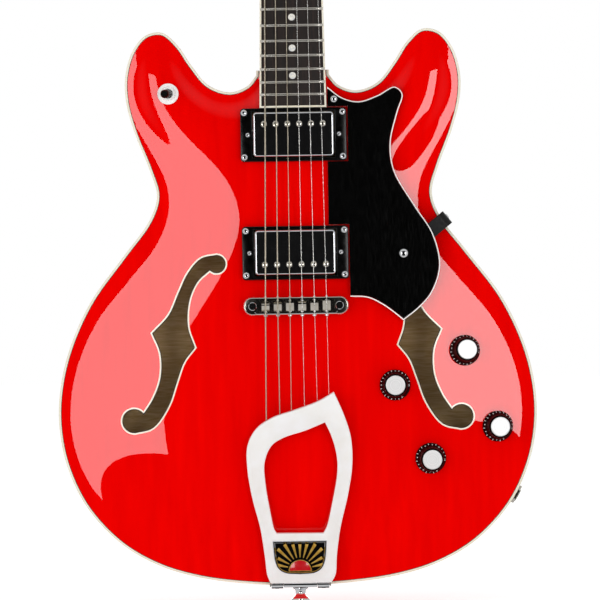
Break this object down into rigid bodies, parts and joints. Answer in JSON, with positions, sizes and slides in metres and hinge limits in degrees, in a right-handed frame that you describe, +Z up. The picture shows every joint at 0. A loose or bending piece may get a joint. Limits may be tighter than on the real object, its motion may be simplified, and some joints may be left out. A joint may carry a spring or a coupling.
{
  "type": "electric guitar",
  "caption": "Semi-hollow double-cutaway electric guitar with arched top, f-holes, trapeze tailpiece, humbuckers and floating pickguard.",
  "frame": {"origin": "centre of the end strap button's outer flat face, on the body's centre line at mid rim depth", "axes": "+Z up along the neck, +X to the treble side, +Y to the back, so the strings face -Y"},
  "size_m": [0.4086, 0.1166, 1.0676],
  "materials": {
    "cherry_lacquer": "gloss transparent cherry lacquer",
    "ivory_binding": "polished ivory celluloid",
    "maple": "raw",
    "rosewood": "oiled",
    "nickel_silver": "polished",
    "string_steel": "nickel wound",
    "chrome": "mirror polished",
    "nickel": "polished nickel plate",
    "black_plastic": "polished",
    "black_metal": "satin black",
    "plain_steel": "plain"
  },
  "bodies": {
    "root": {"body_top": "cherry_lacquer", "body_back": "cherry_lacquer", "body_rim": "cherry_lacquer", "neck": "cherry_lacquer", "top_binding": "ivory_binding", "nut": "ivory_binding", "center_block": "maple", "fretboard": "rosewood", "frets": "nickel_silver", "string_1": "string_steel", "string_2": "string_steel", "string_3": "string_steel", "string_4": "string_steel", "string_5": "string_steel", "string_6": "string_steel", "tailpiece_bracket": "chrome", "strap_button_end": "chrome", "strap_button_heel": "chrome", "tuner_housing_1": "chrome", "tuner_housing_2": "chrome", "tuner_housing_3": "chrome", "tuner_housing_4": "chrome", "tuner_housing_5": "chrome", "tuner_housing_6": "chrome", "bridge_body": "nickel", "bridge_saddles": "nickel", "bridge_stud_bass": "nickel", "bridge_stud_treble": "nickel", "switch_body": "nickel", "output_jack": "nickel", "pickguard": "black_plastic", "pickup_ring_neck": "black_plastic", "pickup_ring_bridge": "black_plastic", "pickguard_bracket": "black_metal", "truss_rod": "plain_steel", "tailpiece_hinge_pin": "plain_steel", "pot_volume_neck": "plain_steel", "pot_volume_bridge": "plain_steel", "pot_tone_neck": "plain_steel", "pot_tone_bridge": "plain_steel"},
    "knob_volume_neck": {"knob_volume_neck": "black_plastic"},
    "knob_volume_bridge": {"knob_volume_bridge": "black_plastic"},
    "knob_tone_neck": {"knob_tone_neck": "black_plastic"},
    "knob_tone_bridge": {"knob_tone_bridge": "black_plastic"},
    "switch_lever": {"switch_lever": "black_plastic"},
    "tuner_button_1": {"tuner_button_1": "chrome"},
    "tuner_post_1": {"tuner_post_1": "nickel"},
    "tuner_button_2": {"tuner_button_2": "chrome"},
    "tuner_post_2": {"tuner_post_2": "nickel"},
    "tuner_button_3": {"tuner_button_3": "chrome"},
    "tuner_post_3": {"tuner_post_3": "nickel"},
    "tuner_button_4": {"tuner_button_4": "chrome"},
    "tuner_post_4": {"tuner_post_4": "nickel"},
    "tuner_button_5": {"tuner_button_5": "chrome"},
    "tuner_post_5": {"tuner_post_5": "nickel"},
    "tuner_button_6": {"tuner_button_6": "chrome"},
    "tuner_post_6": {"tuner_post_6": "nickel"},
    "tailpiece": {"tailpiece_frame": "chrome"},
    "pickup_neck": {"pickup_neck": "chrome"},
    "pickup_bridge": {"pickup_bridge": "chrome"}
  },
  "joints": [
    {"name": "knob_volume_neck_turn", "type": "hinge", "parent": "root", "child": "knob_volume_neck", "pos_m": [0.143, -0.02805, 0.2124], "axis": [0.1461, -0.9874, 0.0602], "range_deg": [0, 300]},
    {"name": "knob_volume_bridge_turn", "type": "hinge", "parent": "root", "child": "knob_volume_bridge", "pos_m": [0.1703, -0.02534, 0.1473], "axis": [0.1385, -0.9902, -0.018], "range_deg": [0, 300]},
    {"name": "knob_tone_neck_turn", "type": "hinge", "parent": "root", "child": "knob_tone_neck", "pos_m": [0.0833, -0.03447, 0.1838], "axis": [0.012, -0.9999, 0.0012], "range_deg": [0, 300]},
    {"name": "knob_tone_bridge_turn", "type": "hinge", "parent": "root", "child": "knob_tone_bridge", "pos_m": [0.1126, -0.03159, 0.121], "axis": [0.0882, -0.9937, -0.0697], "range_deg": [0, 300]},
    {"name": "switch_throw", "type": "hinge", "parent": "root", "child": "switch_lever", "pos_m": [-0.1065, -0.02798, 0.435], "axis": [0.3607, -0.038, -0.9319], "range_deg": [-22, 0]},
    {"name": "tuner_button_1_turn", "type": "hinge", "parent": "root", "child": "tuner_button_1", "pos_m": [-0.022, 0.02862, 0.93165], "axis": [-1, 0, 0], "continuous": true},
    {"name": "tuner_post_1_turn", "type": "hinge", "parent": "root", "child": "tuner_post_1", "pos_m": [-0.022, 0.00846, 0.9291], "axis": [0, -0.9553, 0.2957], "continuous": true},
    {"name": "tuner_button_2_turn", "type": "hinge", "parent": "root", "child": "tuner_button_2", "pos_m": [-0.0245, 0.04045, 0.96986], "axis": [-1, 0, 0], "continuous": true},
    {"name": "tuner_post_2_turn", "type": "hinge", "parent": "root", "child": "tuner_post_2", "pos_m": [-0.0245, 0.02029, 0.96731], "axis": [0, -0.9553, 0.2957], "continuous": true},
    {"name": "tuner_button_3_turn", "type": "hinge", "parent": "root", "child": "tuner_button_3", "pos_m": [-0.027, 0.05228, 1.00808], "axis": [-1, 0, 0], "continuous": true},
    {"name": "tuner_post_3_turn", "type": "hinge", "parent": "root", "child": "tuner_post_3", "pos_m": [-0.027, 0.03212, 1.00552], "axis": [0, -0.9553, 0.2957], "continuous": true},
    {"name": "tuner_button_4_turn", "type": "hinge", "parent": "root", "child": "tuner_button_4", "pos_m": [0.027, 0.05228, 1.00808], "axis": [1, 0, 0], "continuous": true},
    {"name": "tuner_post_4_turn", "type": "hinge", "parent": "root", "child": "tuner_post_4", "pos_m": [0.027, 0.03212, 1.00552], "axis": [0, -0.9553, 0.2957], "continuous": true},
    {"name": "tuner_button_5_turn", "type": "hinge", "parent": "root", "child": "tuner_button_5", "pos_m": [0.0245, 0.04045, 0.96986], "axis": [1, 0, 0], "continuous": true},
    {"name": "tuner_post_5_turn", "type": "hinge", "parent": "root", "child": "tuner_post_5", "pos_m": [0.0245, 0.02029, 0.96731], "axis": [0, -0.9553, 0.2957], "continuous": true},
    {"name": "tuner_button_6_turn", "type": "hinge", "parent": "root", "child": "tuner_button_6", "pos_m": [0.022, 0.02862, 0.93165], "axis": [1, 0, 0], "continuous": true},
    {"name": "tuner_post_6_turn", "type": "hinge", "parent": "root", "child": "tuner_post_6", "pos_m": [0.022, 0.00846, 0.9291], "axis": [0, -0.9553, 0.2957], "continuous": true},
    {"name": "tailpiece_hinge", "type": "hinge", "parent": "root", "child": "tailpiece", "pos_m": [0, -0.0315, 0.015], "axis": [1, 0, 0], "range_deg": [-1, 1.5], "stiffness_Nm_per_rad": 60, "deforming": ["string_1", "string_2", "string_3", "string_4", "string_5", "string_6"]},
    {"name": "pickup_neck_height", "type": "slide", "parent": "root", "child": "pickup_neck", "axis": [0, -0.9981, 0.061], "range_m": [-0.0015, 0.001]},
    {"name": "pickup_bridge_height", "type": "slide", "parent": "root", "child": "pickup_bridge", "axis": [0, -0.9981, 0.061], "range_m": [-0.0015, 0.001]}
  ],
  "couplings": [
    {"joint": "tuner_post_1_turn", "follows": "tuner_button_1_turn", "ratio": 0.055556},
    {"joint": "tuner_post_2_turn", "follows": "tuner_button_2_turn", "ratio": 0.055556},
    {"joint": "tuner_post_3_turn", "follows": "tuner_button_3_turn", "ratio": 0.055556},
    {"joint": "tuner_post_4_turn", "follows": "tuner_button_4_turn", "ratio": 0.055556},
    {"joint": "tuner_post_5_turn", "follows": "tuner_button_5_turn", "ratio": 0.055556},
    {"joint": "tuner_post_6_turn", "follows": "tuner_button_6_turn", "ratio": 0.055556}
  ]
}
